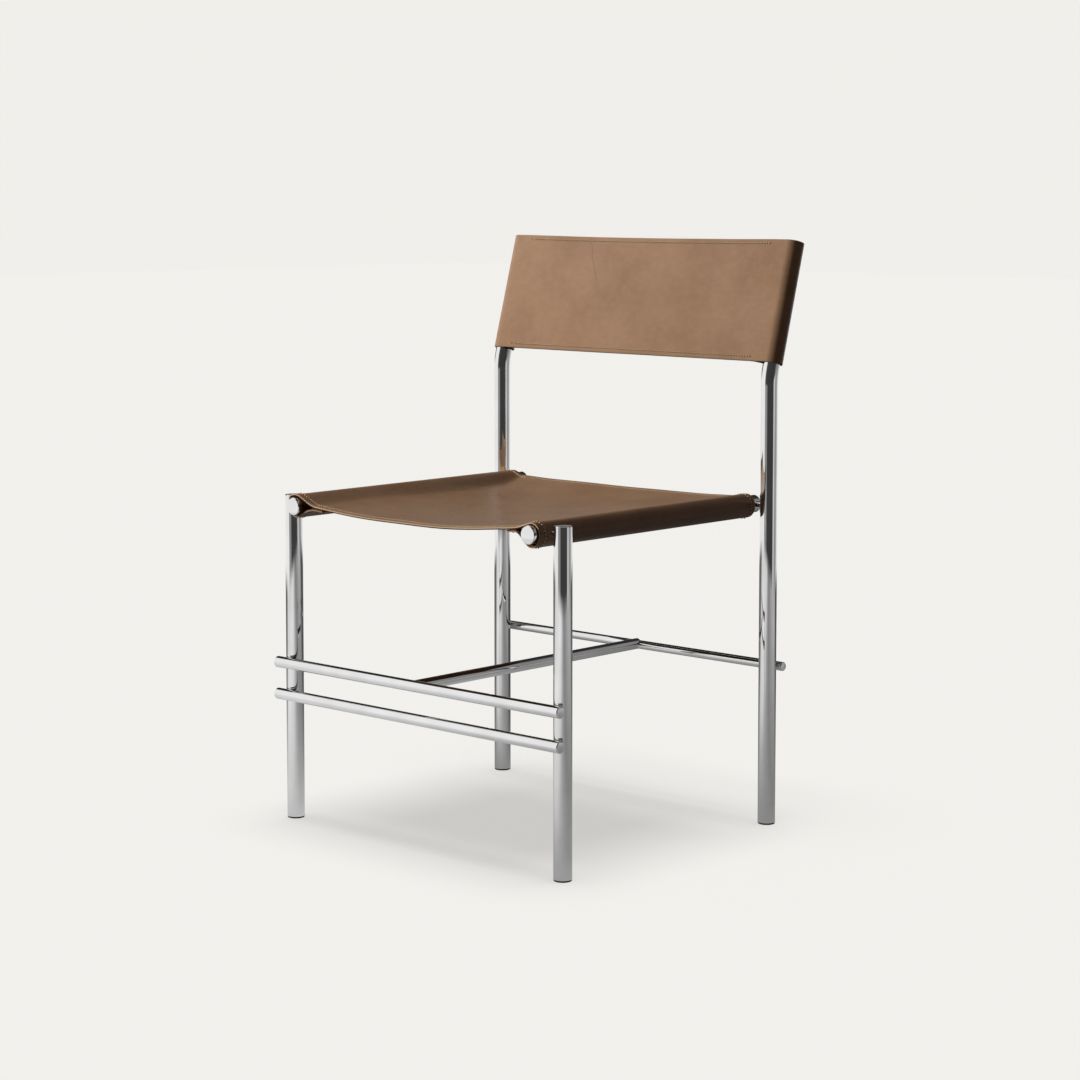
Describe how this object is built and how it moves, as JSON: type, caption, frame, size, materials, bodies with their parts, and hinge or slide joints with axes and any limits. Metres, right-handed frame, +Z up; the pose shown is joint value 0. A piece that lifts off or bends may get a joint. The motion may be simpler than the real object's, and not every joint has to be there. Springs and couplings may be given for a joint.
{
  "type": "dining chair",
  "caption": "Dining chair of chromed round tube with vertical legs, crossbars, a sling seat and a leaning sling back of thick saddle leather sleeved over the tubes.",
  "frame": {"origin": "on the floor, in the middle of the chair's overall width and depth", "axes": "+Z up, the front of the chair faces -Y, the sitter's left is +X"},
  "size_m": [0.5528, 0.5325, 0.8337],
  "materials": {
    "chrome": "polished",
    "weld_chrome": "plated over a brushed weld",
    "screw_steel": "plain zinc plated",
    "glide": "matt",
    "saddle_leather": "smooth, waxed and slightly mottled, with raw cut edges"
  },
  "bodies": {
    "root": {"back_leather": "saddle_leather", "centre_bar": "chrome", "foot_glide_front_left": "glide", "foot_glide_front_right": "glide", "foot_glide_rear_left": "glide", "foot_glide_rear_right": "glide", "front_bar_lower": "chrome", "front_bar_lower_caps": "chrome", "front_bar_lower_welds": "weld_chrome", "front_bar_upper": "chrome", "front_bar_upper_caps": "chrome", "front_bar_upper_welds": "weld_chrome", "front_leg_cap_left": "chrome", "front_leg_cap_right": "chrome", "front_leg_left": "chrome", "front_leg_right": "chrome", "rail_front_cap_left": "chrome", "rail_front_cap_right": "chrome", "rail_rear_cap_left": "chrome", "rail_rear_cap_right": "chrome", "rail_screws": "screw_steel", "rail_spacer_front_left": "chrome", "rail_spacer_front_right": "chrome", "rail_spacer_rear_left": "chrome", "rail_spacer_rear_right": "chrome", "rear_bar": "chrome", "rear_bar_caps": "chrome", "rear_bar_welds": "weld_chrome", "rear_leg_cap_left": "chrome", "rear_leg_cap_right": "chrome", "rear_leg_left": "chrome", "rear_leg_right": "chrome", "seat_leather": "saddle_leather", "seat_rail_left": "chrome", "seat_rail_right": "chrome"}
  },
  "joints": []
}
